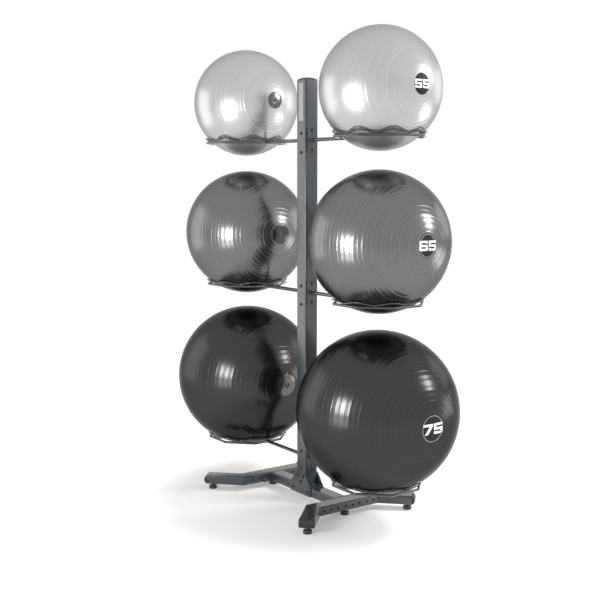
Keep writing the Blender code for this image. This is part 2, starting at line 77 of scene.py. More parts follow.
class Graph:
    def __init__(self, tree):
        self.tree = tree

    def node(self, kind, settings=None, values=None, output=0):
        # Adds a node: its settings first, then the values or links of its sockets
        made = self.tree.nodes.new(kind)
        for name, value in (settings or {}).items():
            setattr(made, name, value)
        for name, value in (values or {}).items():
            self.feed(made.inputs[name], value)
        return Sock(self, made.outputs[output])

    def feed(self, socket, value):
        if isinstance(value, Sock):
            self.tree.links.new(value.link, socket)
        else:
            socket.default_value = value

    def maths(self, operation, first, second=0.0):
        return self.node("ShaderNodeMath", {"operation": operation}, {0: first, 1: second})

    def seen(self):
        # 1 on the rays that show a thing to the camera: straight, as a mirror image or through glass
        share = None
        for ray in ("Is Camera Ray", "Is Glossy Ray", "Is Transmission Ray"):
            path = self.node("ShaderNodeLightPath", output=ray)
            share = self.maths("MAXIMUM", share, path) if share else path
        return share

    def blended(self, share, first, second, output):
        # Goes from the first shader to the second and feeds the graph's output
        mixed = self.node("ShaderNodeMixShader", None, {0: share, 1: first, 2: second})
        self.feed(self.tree.nodes[output].inputs["Surface"], mixed)


class Finish(Graph):
    def __init__(self, name):
        self.material = bpy.data.materials.new(name)
        self.material.use_nodes = True
        super().__init__(self.material.node_tree)
        self.shader = self.tree.nodes["Principled BSDF"]
        self.place = self.node("ShaderNodeTexCoord", output="Object")

    def noise(self, scale, detail=2.0, roughness=0.5, stretch=None):
        place = self.place
        if stretch:
            place = self.node("ShaderNodeVectorMath", {"operation": "MULTIPLY"}, {0: place, 1: stretch})
        values = {"Vector": place, "Scale": scale, "Detail": detail, "Roughness": roughness}
        return self.node("ShaderNodeTexNoise", None, values, "Fac")

    def fromCentre(self):
        return self.node("ShaderNodeVectorMath", {"operation": "LENGTH"}, {0: self.place}, "Value")

    def between(self, value, low, high):
        # 0 under low, 1 over high and a smooth step from one to the other
        values = {"Value": value, "From Min": low, "From Max": high}
        return self.node("ShaderNodeMapRange", {"interpolation_type": "SMOOTHSTEP"}, values)

    def mix(self, share, first, second):
        # Goes from the first colour to the second
        first, second = [c if isinstance(c, Sock) else (*c, 1) for c in (first, second)]
        return self.node("ShaderNodeMix", {"data_type": "RGBA"}, {0: share, 6: first, 7: second}, 2)

    def varied(self, share, colour, low, high):
        # Goes from the colour times low to the colour times high
        return self.mix(share, shade(colour, low), shade(colour, high))

    def surface(self, **values):
        # Sets the shader's sockets: baseColor stands for Base Color, and so on
        for name, value in values.items():
            label = "".join(" " + c if c.isupper() else c for c in name).title()
            if isinstance(value, tuple):
                value = (*value, 1)
            self.feed(self.shader.inputs[label.replace("Ior", "IOR")], value)
        return self.material

    def bump(self, height, distance):
        bumped = self.node("ShaderNodeBump", None, {"Height": height, "Distance": distance})
        self.feed(self.shader.inputs["Normal"], bumped)


def shade(colour, factor):
    return tuple(c * factor for c in colour)


paintPlan = {
    "colour": (0.032, 0.038, 0.043),
    "roughness": 0.15,
    "metallic": 0.05,
    "gloss": 0.75,  # specular level: 0.5 is plain plastic
    "driftScale": 5.5,  # slow change of tone
    "fineScale": 190,
    "peelScale": 420,  # orange peel of the powder coat
    "peelHeight": 0.00012,
    "scuffScale": 26,
    "scuffShare": 0.16,
    "dustColour": (0.12, 0.12, 0.118),
}


def makePaint(name, plan):
    # Powder coat: drifting tone, fine orange peel, faint scuffs and a little dust
    coat = Finish(name)
    drift = coat.noise(plan["driftScale"], 3)
    fine = coat.noise(plan["fineScale"])
    scuffs = coat.between(coat.noise(plan["scuffScale"], 6, 0.62, (1, 1, 0.35)), 0.64, 0.74)
    tone = coat.varied(drift * 0.7 + fine * 0.3, plan["colour"], 0.9, 1.1)
    tone = coat.mix(scuffs * plan["scuffShare"], tone, plan["dustColour"])
    coat.bump(coat.noise(plan["peelScale"], 2, 0.45) + fine * 0.4, plan["peelHeight"])
    rough = plan["roughness"] + 0.08 * (drift - 0.5) + scuffs * 0.12
    return coat.surface(baseColor=tone, roughness=rough, metallic=plan["metallic"], specularIorLevel=plan["gloss"])


capPlan = {"colour": (0.029, 0.030, 0.031), "grain": 700, "grainHeight": 0.00015, "roughness": 0.52, "gloss": 0.3}
footPlan = {"colour": (0.030, 0.031, 0.032), "grain": 520, "grainHeight": 0.0002, "roughness": 0.30, "gloss": 0.5}
plugPlan = {"colour": (0.055, 0.056, 0.060), "grain": 900, "grainHeight": 0.00008, "roughness": 0.36, "gloss": 0.5}


def makeMoulded(name, plan):
    # Moulded plastic or rubber: fine grain, with paler rubbed places
    body = Finish(name)
    rubbed = body.between(body.noise(34, 5, 0.6), 0.55, 0.72)
    tone = body.varied(rubbed * 0.5, plan["colour"], 0.9, 1.35)
    body.bump(body.noise(plan["grain"]), plan["grainHeight"])
    return body.surface(baseColor=tone, roughness=plan["roughness"] + 0.1 * rubbed, specularIorLevel=plan["gloss"])


zincPlan = {
    "colour": (0.052, 0.054, 0.058),
    "roughness": 0.33,
    "metallic": 0.6,
    "spotScale": 210,
    "turnScale": 900,
    "turnHeight": 0.00006,
}


def makeZinc(name, plan):
    # Dark zinc on the fasteners: turned streaks and a few dull spots
    zinc = Finish(name)
    spots = zinc.between(zinc.noise(plan["spotScale"], 4, 0.6), 0.5, 0.7)
    zinc.bump(zinc.noise(plan["turnScale"], 2, 0.5, (1, 1, 0.15)), plan["turnHeight"])
    tone = zinc.varied(spots, plan["colour"], 1, 0.55)
    return zinc.surface(baseColor=tone, roughness=plan["roughness"] + 0.16 * spots, metallic=plan["metallic"])


vinylPlan = {
    "top": {"colour": (0.490, 0.490, 0.493), "metallic": 0.86, "roughness": 0.31},
    "mid": {"colour": (0.168, 0.168, 0.169), "metallic": 0.96, "roughness": 0.225},
    "bottom": {"colour": (0.049, 0.049, 0.050), "metallic": 0.96, "roughness": 0.215},
    "coatWeight": 0.08,
    "coatRoughness": 0.22,
    "edgeTint": 0.45,  # how pale the sheen is at a grazing angle
    "cloudScale": 3.2,
    "smudgeScale": 9,
    # scale of the noise that makes the painted ring highlight patchy
    "highlightBreakScale": 4.5,
    "pebbleScale": 300,
    "pebbleHeight": 0.00010,
    "ringHighlightHalf": 0.28,  # half the width of the painted highlight line along a ring, in degrees
    # how much paler the painted highlight along each ring is
    "ringHighlightPale": 1.38,
    "grooveStep": 1.17,  # fine grooves between the rings, in degrees
    "grooveHeight": 0.00005,
}


# The moulded rings of each tier: degrees from either pole and how strong each is, as ridge height and as painted
# highlight
def evenRings(weak, strong):
    return [(10.5 + 3.5 * i, weak if i % 2 else strong) for i in range(23)]


ringPlan = {
    "top": {"rings": [(14.0, 0.3), (17.5, 0.45), (21.0, 0.35), (24.5, 0.5), (28.0, 0.4), (35.0, 1.0),
                      (38.5, 0.6), (45.5, 0.3), (52.6, 0.5), (56.6, 0.55), (60.3, 0.45), (66.8, 0.4),
                      (76.0, 0.3)], "grooves": 0.0},
    "mid": {"rings": evenRings(0.42, 0.85), "grooves": 0.6},
    "bottom": {"rings": evenRings(0.34, 0.68), "grooves": 0.6},
}


def makeVinyl(name, plan, common, ringed):
    # Pearly inflated vinyl: a patchy painted highlight along the moulded rings, fine grooves, hand smudges and a very
    # fine pebble
    skin = Finish(name)
    cloud = skin.noise(common["cloudScale"], 4, 0.55)
    smudge = skin.between(skin.noise(common["smudgeScale"], 5, 0.6), 0.5, 0.72)
    tone = skin.varied(cloud, plan["colour"], 0.94, 1.06)
    tone = skin.mix(smudge * 0.10, tone, shade(plan["colour"], 1.3))
    axial = skin.maths("ABSOLUTE", skin.node("ShaderNodeSeparateXYZ", None, {0: skin.place}, "X"))
    polar = skin.maths("ARCCOSINE", axial / skin.fromCentre()) * (180 / pi)
    # painted highlight: a pale line along each moulded ring stands in for the light its ridge catches
    line = 0.0
    for degrees, strength in ringed["rings"]:
        apart = skin.maths("ABSOLUTE", polar - degrees)
        mark = (1 - skin.between(apart, common["ringHighlightHalf"] * 0.4, common["ringHighlightHalf"] * 1.4)) * strength
        line = skin.maths("MAXIMUM", mark, line)
    # a noise makes the painted ring highlight patchy
    highlightBreak = skin.between(skin.noise(common["highlightBreakScale"]), 0.3, 0.7)
    tone = skin.mix(line * (0.25 + 0.75 * highlightBreak), tone, shade(plan["colour"], common["ringHighlightPale"]))
    groove = skin.maths("SINE", polar * (2 * pi / common["grooveStep"]))
    pebbles = skin.noise(common["pebbleScale"]) * (common["pebbleHeight"] / common["grooveHeight"] * 0.1)
    skin.bump(groove * (0.5 * ringed["grooves"]) + pebbles, common["grooveHeight"])
    rough = plan["roughness"] + 0.03 * (cloud - 0.5) + 0.05 * smudge
    return skin.surface(
        baseColor=tone, roughness=rough, metallic=plan["metallic"], coatWeight=common["coatWeight"],
        coatRoughness=common["coatRoughness"], specularTint=(common["edgeTint"],) * 3)


discPlan = {
    "top": (0.135, 0.135, 0.139),
    # painted shade: the mid disc is darker than the others to stand in for the dark rack that it mirrors
    "mid": (0.075, 0.075, 0.077),
    "bottom": (0.145, 0.145, 0.149),
    "roughness": 0.14,
    "metallic": 0.9,
    "fineHeight": 0.00005,
}


def makeDiscFinish(name, colour, plan):
    # Polished disc round the valve: small smears and a very fine grain
    disc = Finish(name)
    smear = disc.between(disc.noise(60, 4, 0.6), 0.5, 0.75)
    fine = disc.noise(520)
    disc.bump(fine, plan["fineHeight"])
    tone = disc.varied(smear * 0.5 + fine * 0.2, colour, 1, 0.72)
    return disc.surface(baseColor=tone, roughness=plan["roughness"] + 0.12 * smear, metallic=plan["metallic"])


inkPlan = {
    "darkPrint": {"colour": (0.014, 0.014, 0.016), "roughness": 0.42, "gloss": 0.2},
    "palePrint": {"colour": (0.93, 0.93, 0.93), "roughness": 0.40, "gloss": 0.5},
    "greyPrint": {"colour": (0.42, 0.42, 0.42), "roughness": 0.42, "gloss": 0.3},
    "bareLabelFilm": {"colour": (0.31, 0.318, 0.322), "roughness": 0.45, "gloss": 0.5},
}


def makeInk(name):
    # Printed ink or a label film: slightly uneven, thinner in tiny specks
    plan = inkPlan[name]
    ink = Finish(name)
    specks = ink.between(ink.noise(420, 3, 0.6), 0.62, 0.74)
    lay = ink.noise(45, 3)
    ink.bump(lay, 0.00004)
    tone = ink.varied(specks * 0.35 + lay * 0.15, plan["colour"], 1, 0.78)
    return ink.surface(baseColor=tone, roughness=plan["roughness"] + 0.1 * specks, specularIorLevel=plan["gloss"])


# Each look is a finish and the slot that it stands for
paint = (makePaint("slatePowderCoat", paintPlan), "frame_paint")
capPlastic = (makeMoulded("endCapPlastic", capPlan), "cap_plastic")
footRubber = (makeMoulded("footRubber", footPlan), "foot_rubber")
plugPlastic = (makeMoulded("plugPlastic", plugPlan), "plug_plastic")
zinc = (makeZinc("darkZinc", zincPlan), "bolt_steel")
vinylSlot = {"top": "silver_vinyl", "mid": "grey_vinyl", "bottom": "charcoal_vinyl"}
vinyl = {t: (makeVinyl(t + "BallVinyl", vinylPlan[t], vinylPlan, ringPlan[t]), vinylSlot[t]) for t in tiers}
discs = {t: (makeDiscFinish(t + "DiscFinish", discPlan[t], discPlan), "plug_plastic") for t in tiers}
darkInk = (makeInk("darkPrint"), "charcoal_vinyl")
paleInk = (makeInk("palePrint"), "silver_vinyl")
lineInk = (makeInk("greyPrint"), "silver_vinyl")
labelFilm = (makeInk("bareLabelFilm"), "frame_paint")
print("finishes made")


# Mesh helpers
def roundRect(width, height, radius, steps=4):
    # Outline of a rectangle with round corners, anticlockwise
    points = []
    for i, (x, y) in enumerate(((1, 1), (-1, 1), (-1, -1), (1, -1))):
        for j in range(steps + 1):
            angle = pi / 2 * (i + j / steps)
            across = x * (width / 2 - radius) + radius * cos(angle)
            points.append((across, y * (height / 2 - radius) + radius * sin(angle)))
    return points


def rounded(corners, steps=5):
    # Rounds an outline's corners, each given as x, y and how far it is cut back along its two sides
    loop = []
    for i, (x, y, radius) in enumerate(corners):
        here = Vector((x, y))
        if radius <= 0:
            loop.append(here)
            continue
        before, after = [Vector(corners[k][:2]) for k in (i - 1, (i + 1) % len(corners))]
        start = here + (before - here).normalized() * radius
        stop = here + (after - here).normalized() * radius
        for k in range(steps + 1):
            t = k / steps
            loop.append(start * (1 - t) ** 2 + here * (2 * t * (1 - t)) + stop * t ** 2)
    return loop


def circle(radius, count):
    step = 2 * pi / count
    return [(radius * cos(i * step), radius * sin(i * step)) for i in range(count)]


def ring(outline, centre, across, upward):
    centre, across, upward = Vector(centre), Vector(across), Vector(upward)
    return [centre + across * u + upward * v for u, v in outline]


def loft(rings, bm=None, closed=False):
    # Bridges rings of as many points each, and fills the two ends unless the last ring meets the first
    bm = bm or bmesh.new()
    loops = [[bm.verts.new(point) for point in points] for points in rings]
    pairs = list(zip(loops, loops[1:]))
    if closed:
        pairs.append((loops[-1], loops[0]))
    else:
        bm.faces.new(loops[0])
        bm.faces.new(loops[-1])
    for first, second in pairs:
        count = len(first)
        for i in range(count):
            j = (i + 1) % count
            bm.faces.new((first[i], first[j], second[j], second[i]))
    return bm


def along(points, outline, closed=True, bm=None, swell=None):
    # Sweeps an outline along a path, upright to Z; swell scales it point by point
    rings = []
    count = len(points)
    for i, point in enumerate(points):
        if closed:
            run = points[(i + 1) % count] - points[i - 1]
        else:
            run = points[min(i + 1, count - 1)] - points[max(i - 1, 0)]
        run.normalize()
        guide = up if abs(run.z) < 0.9 else Vector((0, 1, 0))
        across = run.cross(guide).normalized()
        size = swell(i) if swell else 1.0
        rings.append(ring([(u * size, v * size) for u, v in outline], point, across, across.cross(run)))
    return loft(rings, bm, closed)


def lathe(profile, count, bm=None, place=None):
    # Turns a profile of radii and heights about Z; a radius of zero closes on the axis
    bm = bm or bmesh.new()
    loops = []
    for radius, height in profile:
        spots = circle(radius, count) if radius > 1e-7 else [(0, 0)]
        loops.append([bm.verts.new((x, y, height)) for x, y in spots])
    for first, second in zip(loops, loops[1:]):
        for i in range(count):
            j = (i + 1) % count
            corners = [first[i % len(first)], first[j % len(first)], second[j % len(second)], second[i % len(second)]]
            corners = [c for k, c in enumerate(corners) if c not in corners[:k]]
            if len(corners) > 2:
                bm.faces.new(corners)
    if place is not None:
        bmesh.ops.transform(bm, verts=[v for loop in loops for v in loop], matrix=place)
    return bm


def laidDown(bm, way=1):
    # Turns what was made about Z so that its top points along X
    bmesh.ops.rotate(bm, verts=bm.verts, matrix=Matrix.Rotation(way * pi / 2, 3, "Y"))
    return bm


def standing(spot, run):
    # The place of a thing made upright on the origin that stands on a spot and points along run
    return Matrix.Translation(spot) @ run.to_track_quat("Z", "Y").to_matrix().to_4x4()


def shaded(mesh, smooth=32):
    # Smooth, with sharp edges where the faces turn by more than this many degrees
    mesh.shade_smooth()
    mesh.set_sharp_from_angle(angle=radians(smooth))
    return mesh


def meshOf(name, bm, smooth=32):
    bmesh.ops.recalc_face_normals(bm, faces=bm.faces)
    mesh = bpy.data.meshes.new(name)
    bm.to_mesh(mesh)
    bm.free()
    return shaded(mesh, smooth)


def added(name, data):
    made = bpy.data.objects.new(name, data)
    bpy.context.scene.collection.objects.link(made)
    return made


def drilled(name, bm, holes):
    # Cuts round holes through a mesh: each hole is its two ends and its radius
    drills = bmesh.new()
    for start, stop, radius in holes:
        start, stop = Vector(start), Vector(stop)
        size = {"radius1": radius, "radius2": radius, "depth": (stop - start).length}
        place = standing((start + stop) / 2, stop - start)
        bmesh.ops.create_cone(drills, cap_ends=True, segments=28, matrix=place, **size)
    body = added(name + "Blank", meshOf(name + "Blank", bm))
    drill = added(name + "Drill", meshOf(name + "Drill", drills))
    cut = body.modifiers.new("holes", "BOOLEAN")
    cut.operation = "DIFFERENCE"
    cut.solver = "EXACT"
    cut.object = drill
    graph = bpy.context.evaluated_depsgraph_get()
    mesh = bpy.data.meshes.new_from_object(body.evaluated_get(graph))
    for spare in (body, drill):
        bpy.data.objects.remove(spare)
    mesh.name = name
    return shaded(mesh)


def piece(name, mesh, look, place=(0, 0, 0), turn=0.0, nodes=(), level=True, body="rack"):
    # Adds a visible piece on the body that carries it; level shades its flat faces flat
    finish, slot = look
    if not mesh.materials:
        mesh.materials.append(finish)
    made = added(name, mesh)
    made.location = place
    made.rotation_euler = (0, 0, turn)
    if level:
        made.modifiers.new("flat faces stay flat", "WEIGHTED_NORMAL").keep_sharp = True
    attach(made, body)
    if nodes:
        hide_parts(*nodes)


def middleOf(node):
    low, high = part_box(node)
    return (low + high) / 2


# Fasteners: hexagon head with a turned face, washer, and a nut on a threaded end
boltPlan = {
    "flats": 0.013,
    "headHeight": 0.0053,
    "dome": 0.0004,
    "washerRadius": 0.0073,
    "washerHeight": 0.0012,
    "washerEdge": 0.0002,
    "shank": 0.004,
    "nutHeight": 0.0065,
    "threadPitch": 0.00125,
    "threadSunk": 0.0008,  # how far the thread begins inside the nut
    "endHeight": 0.002,
}


def turned(reaches, z, place):
    # Points about Z at this height, each at its own distance from the axis
    step = 2 * pi / len(reaches)
    return [place @ Vector((r * cos(i * step), r * sin(i * step), z)) for i, r in enumerate(reaches)]


def hexLump(bm, flats, height, place, dome=0.0):
    # A hexagon whose outer corners are turned off, standing on Z = 0
    corner = flats / sqrt(3)
    flat = flats / 2
    count = 48
    sixth = pi / 3
    hexagon = [flat / cos((2 * pi * i / count + sixth / 2) % sixth - sixth / 2) for i in range(count)]
    levels = ((0.0, flat * 0.93), (height * 0.06, corner), (height * 0.72, corner), (height * 0.94, flat * 0.97),
              (height, flat * 0.86), (height + dome * 0.6, flat * 0.55), (height + dome, 0.0))
    loft([turned([max(min(side, reach), 1e-5) for side in hexagon], z, place) for z, reach in levels], bm)


def threadEnd(bm, radius, low, high, pitch, place, count=24):
    # A stud end whose thread climbs round it
    rows = max(int((high - low) / pitch * 4), 4)
    depth = pitch * 0.5
    rings = []
    for k in range(rows + 1):
        z = low + (high - low) * k / rows
        crest = radius - depth if k == rows else radius
        climb = [abs((z / pitch - i / count) % 1.0 * 2 - 1) for i in range(count)]
        rings.append(turned([crest - depth * share for share in climb], z, place))
    loft(rings, bm)


def boltMesh(name, headFace, nutFace):
    # A whole bolt from the face under its head to the face under its nut
    plan = boltPlan
    headFace, nutFace = Vector(headFace), Vector(nutFace)
    run = (nutFace - headFace).normalized()
    toHead, toNut = standing(headFace - run * hair, -run), standing(nutFace + run * hair, run)
    washer, edge, rim, shank = plan["washerHeight"], plan["washerEdge"], plan["washerRadius"], plan["shank"]
    washerProfile = [(shank, 0), (rim - edge, 0), (rim, edge), (rim, washer - edge), (rim - edge, washer),
                     (shank, washer), (shank, 0)]
    bm = bmesh.new()
    for place in (toHead, toNut):
        lathe(washerProfile, 32, bm, place)
    onWasher = Matrix.Translation((0, 0, washer))
    hexLump(bm, plan["flats"], plan["headHeight"] - washer, toHead @ onWasher, plan["dome"])
    hexLump(bm, plan["flats"], plan["nutHeight"] - washer, toNut @ onWasher)
    end = plan["nutHeight"] + plan["endHeight"]
    threadEnd(bm, shank, plan["nutHeight"] - plan["threadSunk"], end, plan["threadPitch"], toNut)
    core, length = shank - hair, (nutFace - headFace).length
    lathe([(0, -hair), (core, -hair), (core, length), (0, length)], 16, bm, standing(headFace, run))
    return meshOf(name, bm, 28)


def addBolts():
    # Along X through the cradle plates, along Y through the post, and along Y through both gussets
    for name in sorted(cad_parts):
        if "_bolt_" not in name:
            continue
        axis, way = (0, -1) if name.startswith("cradle_bolt") else (1, 1)
        headEnd, nutEnd = [corner[axis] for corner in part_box(name)][::way]
        head, nut = Vector(), Vector()
        head[axis] = headEnd + way * (boltPlan["headHeight"] + hair)
        nut[axis] = nutEnd - way * (boltPlan["nutHeight"] + boltPlan["endHeight"] + hair)
        place = middleOf(name)
        place[axis] = 0
        key = f"boltAlong{'XY'[axis]}{round(abs(headEnd - nutEnd) * 1000)}"
        mesh = bpy.data.meshes.get(key) or boltMesh(key, head, nut)
        piece("dressed_" + name, mesh, zinc, place, nodes=[name], level=False)


addBolts()
print("bolts made")


# Weld beads
weldPlan = {"radius": 0.0026, "ripplePitch": 0.0022, "rippleShare": 0.16}


def weldBead(bm, path, closed=True, size=1.0):
    # A bead along a path, ribbed by the torch's steps
    def ripple(i):
        return 1 + weldPlan["rippleShare"] * (sin(i * 2.1) * 0.6 + sin(i * 0.37 + 1.3) * 0.4)

    along(path, circle(weldPlan["radius"] * size, 8), closed, bm, ripple)


def seam(bm, corners, closed=True, size=1.0, step=weldPlan["ripplePitch"]):
    # A bead from corner to corner, with a point every step or so
    path = []
    for start, stop in zip(corners, corners[1:] + corners[:1] if closed else corners[1:]):
        count = max(1, round((stop - start).length / step))
        path += [start.lerp(stop, k / count) for k in range(count)]
    weldBead(bm, path if closed else path + corners[-1:], closed, size)


tubePlan = {"corner": 0.0065, "wall": 0.003}  # of the post, the beam and the legs


def tube(stations, width, height):
    # Outer and inner skin of a box tube along stations of centre, across and up
    corner, wall = tubePlan["corner"], tubePlan["wall"]
    outer = roundRect(width, height, corner)
    inner = roundRect(width - 2 * wall, height - 2 * wall, max(corner - wall, 0.001))
    rings = [ring(outer, *station) for station in stations]
    return loft(rings + [ring(inner, *station) for station in reversed(stations)], closed=True)


def plate(outline, thickness, edge, face, run, plane, bm=None):
    # A plate with its edges broken, standing on a face and growing along run
    rings = []
    for height, inset in ((0, edge), (edge, 0), (thickness - edge, 0), (thickness, edge)):
        points = []
        for x, y in outline:
            share = 1 - inset / hypot(x, y)
            points.append((x * share, y * share))
        rings.append(ring(points, Vector(face) + Vector(run) * height, *plane))
    return loft(rings, bm)


# Post: square tube on its foot plate
postPlan = {
    "sunk": 0.0005,  # how far the tube's foot is in its plate
    "plateLength": 0.195,
    "plateWidth": 0.071,
    "plateThickness": 0.006,
    "plateCorner": 0.006,
    "plateBolt": 0.062,
    "edge": 0.0008,  # broken edge of cut plate
    "frontBead": {"inset": 0.0015, "end": 0.004, "size": 0.55},
    "sideBeadEnd": 0.006,
}


def addPost():
    plan = postPlan
    low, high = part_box("post")
    width = high.y - low.y
    half = width / 2
    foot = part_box("leg_right")[1].z + hair
    plateTop = foot + plan["plateThickness"]
    bm = tube([((0, 0, z), *lying) for z in (plateTop - plan["sunk"], high.z)], width, width)
    outline = roundRect(plan["plateLength"], plan["plateWidth"], plan["plateCorner"])
    plate(outline, plan["plateThickness"], plan["edge"], (0, 0, foot), up, lying, bm)
    bead = plan["frontBead"]
    for y in (bead["inset"] - half, half - bead["inset"]):
        seam(bm, [Vector((x, y, plateTop)) for x in (bead["end"] - half, half - bead["end"])], False, bead["size"])
    for x in (-half, half):
        seam(bm, [Vector((x, y, plateTop)) for y in (plan["sideBeadEnd"] - half, half - plan["sideBeadEnd"])], False)
    piece("dressed_post", meshOf("dressedPost", bm), paint, nodes=["post"])
    for side, way, _ in sides[::-1]:
        x = way * plan["plateBolt"]
        mesh = boltMesh("plateBolt", (x, 0, plateTop), (x, 0, foot - hair - tubePlan["wall"]))
        piece("plate_bolt_" + side, mesh, zinc, level=False)


addPost()


# Post cap: low pyramid with softened edges, on an insert in the tube
postCapPlan = {
    "insert": 0.015,
    "insertGap": 0.001,  # how far the insert ends above the cap's lowest point
    "insertCorner": 0.003,
    "lip": 0.0012,  # how far the underside is set in, and how high that edge is
    "lipEdge": 0.0005,
    "edge": 0.0015,
    "flat": 0.030,
    "cornerGrowth": 0.003,  # how much rounder the corners get up the slope
    "topCorner": 0.004,
    "slopeSteps": 8,
}


def addPostCap():
    plan = postCapPlan
    low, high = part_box("post_cap")
    width = high.x - low.x
    base = low.z + plan["insert"] + hair
    inner = width - 2 * (tubePlan["wall"] + hair)
    corner = tubePlan["corner"]
    steps = [(inner, low.z + plan["insertGap"], plan["insertCorner"]), (inner, base, plan["insertCorner"]),
             (width - plan["lip"], base, corner), (width, base + plan["lipEdge"], corner),
             (width, base + plan["edge"], corner)]
    rise = high.z - base - plan["edge"]
    for k in range(1, plan["slopeSteps"] + 1):
        share = k / plan["slopeSteps"]
        span = width + (plan["flat"] - width) * share
        # the slope starts steeply and flattens towards the top
        z = base + plan["edge"] + rise * sin(share * pi / 2)
        steps.append((span, z, corner + plan["cornerGrowth"] * share))
    steps.append((plan["flat"] * 0.5, high.z, plan["topCorner"]))
    rings = [ring(roundRect(span, span, min(corner, span * 0.4)), (0, 0, z), *lying) for span, z, corner in steps]
    piece("dressed_post_cap", meshOf("dressedPostCap", loft(rings), 40), capPlastic, nodes=["post_cap"])


addPostCap()


# Bare label strip on the post's front
labelPlan = {"x": 0.0175, "bottom": 1.892, "top": 2.074, "lift": 0.00002, "thickness": 0.00025, "corner": 0.004}


def addLabel():
    plan = labelPlan
    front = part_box("post")[0].y
    outline = roundRect(2 * plan["x"], plan["top"] - plan["bottom"], plan["corner"], 5)
    centre = (plan["bottom"] + plan["top"]) / 2
    rings = [ring(outline, (0, front - y, centre), *facing) for y in (plan["lift"], plan["thickness"])]
    piece("bare_label_strip", meshOf("bareLabelStrip", loft(rings)), labelFilm)


addLabel()
print("post made")


# Cradles: octagon of bent rod, arm and post plate, welded
cradlePlan = {
    "reach": 0.5535,
    "apothem": 0.195,
    "rod": 0.0065,
    "bend": 0.020,
    "armRadius": 0.009,
    "armSunk": 0.001,  # how far the arm's end is in its plate
    "plateHeight": 0.116,
    "plateWidth": 0.058,
    "plateThickness": 0.006,
    "plateCorner": 0.006,
    "plateEdge": 0.0007,
    "sides": 8,
    "bendSteps": 6,
    "collarLift": 0.0008,  # of the bead round the arm, over the plate
    "saddleBead": 0.8,  # size of the beads where the arm meets the rod, as a share of the plain one
}
wirePlan = {"radius": 0.0035, "rise": 0.012, "peakClearance": 0.0018, "stepsPerHump": 14, "tack": 0.0042}


def octagonPath(plan):
    half = pi / plan["sides"]
    hub = (plan["apothem"] - plan["bend"]) / cos(half)
    path = []
    for i in range(plan["sides"]):
        corner = half * (2 * i + 1)
        for k in range(plan["bendSteps"] + 1):
            angle = corner + half * (2 * k / plan["bendSteps"] - 1)
            x = hub * cos(corner) + plan["bend"] * cos(angle)
            y = hub * sin(corner) + plan["bend"] * sin(angle)
            path.append(Vector((x + plan["reach"], y, 0)))
    return path


def cradleMesh(plan):
    bm = along(octagonPath(plan), circle(plan["rod"], 20))
    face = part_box("post")[1].y + hair
    joint = plan["reach"] - plan["apothem"]  # where the arm meets the rod
    inner = joint - wirePlan["radius"] - 2 * hair
    plateFace = face + plan["plateThickness"]
    bar = [Vector((x, 0, 0)) for x in (plateFace - plan["armSunk"], inner - 0.001, inner)]
    radii = (1.0, 1.0, 0.9)
    along(bar, circle(plan["armRadius"], 32), False, bm, lambda i: radii[i])
    outline = roundRect(plan["plateHeight"], plan["plateWidth"], plan["plateCorner"], 5)
    plate(outline, plan["plateThickness"], plan["plateEdge"], (face, 0, 0), (1, 0, 0), upended, bm)
    # bead round the arm at the plate, and one over each side of the rod where the arm meets it
    reach = plan["armRadius"] + weldPlan["radius"] * 0.35
    weldBead(bm, [Vector((plateFace + plan["collarLift"], y, z)) for y, z in circle(reach, 44)])
    for way in (-1, 1):
        saddle = []
        for k in range(9):
            angle = pi * (k / 8 - 0.5) * 0.9
            x = joint - plan["rod"] * cos(angle) * 0.92
            saddle.append(Vector((x, way * plan["armRadius"] * 0.86, plan["rod"] * sin(angle))))
        weldBead(bm, saddle, False, plan["saddleBead"])
    return meshOf("dressedCradle", bm, 38)


def wireMesh(plan, cradle, ballRadius):
    # The wave: low at the middle of each side of the octagon, raised and leaning out at its corners
    seat = ballRadius + plan["radius"] + hair
    depth = sqrt(seat ** 2 - cradle["apothem"] ** 2)
    peak = sqrt(seat ** 2 - (depth - plan["rise"]) ** 2) + plan["peakClearance"]
    trough = cradle["rod"] + plan["radius"] + hair
    count = cradle["sides"] * plan["stepsPerHump"]
    path = []
    for i in range(count):
        angle = 2 * pi * i / count
        swell = (1 - cos(cradle["sides"] * angle)) / 2
        radius = cradle["apothem"] + (peak - cradle["apothem"]) * swell
        x, y = cradle["reach"] + radius * cos(angle), radius * sin(angle)
        path.append(Vector((x, y, trough + plan["rise"] * swell)))
    bm = along(path, circle(plan["radius"], 14))
    # weld tacks at the low points, lying along the wire: how far along and how thick
    tacks = ((-1, 0.2), (-0.6, 0.75), (0, 1.0), (0.6, 0.75), (1, 0.2))
    for i in range(cradle["sides"]):
        angle = 2 * pi * i / cradle["sides"]
        out = Vector((cos(angle), sin(angle), 0))
        hub = Vector((cradle["reach"], 0, cradle["rod"])) + out * cradle["apothem"]
        for way in (-1, 1):
            spot = hub + out * (way * plan["radius"] * 0.75)
            tack = [spot + out.cross(up) * (s * plan["tack"]) for s, _ in tacks]
            along(tack, circle(plan["radius"] * 0.62, 10), False, bm, lambda k: tacks[k][1])
    return meshOf("dressedWire", bm, 45)


def addCradles():
    cradle = cradleMesh(cradlePlan)
    low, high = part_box("ball_bottom_right")
    wire = wireMesh(wirePlan, cradlePlan, (high.z - low.z) / 2)
    for tier in tiers:
        for side, _, turn in sides:
            label = f"{tier}_{side}"
            place = (0, 0, middleOf("cradle_" + label).z)
            piece("dressed_cradle_" + label, cradle, paint, place, turn, ["cradle_" + label])
            piece("dressed_wire_" + label, wire, paint, place, turn, ["cradle_wire_" + label], False)


addCradles()
print("cradles made")


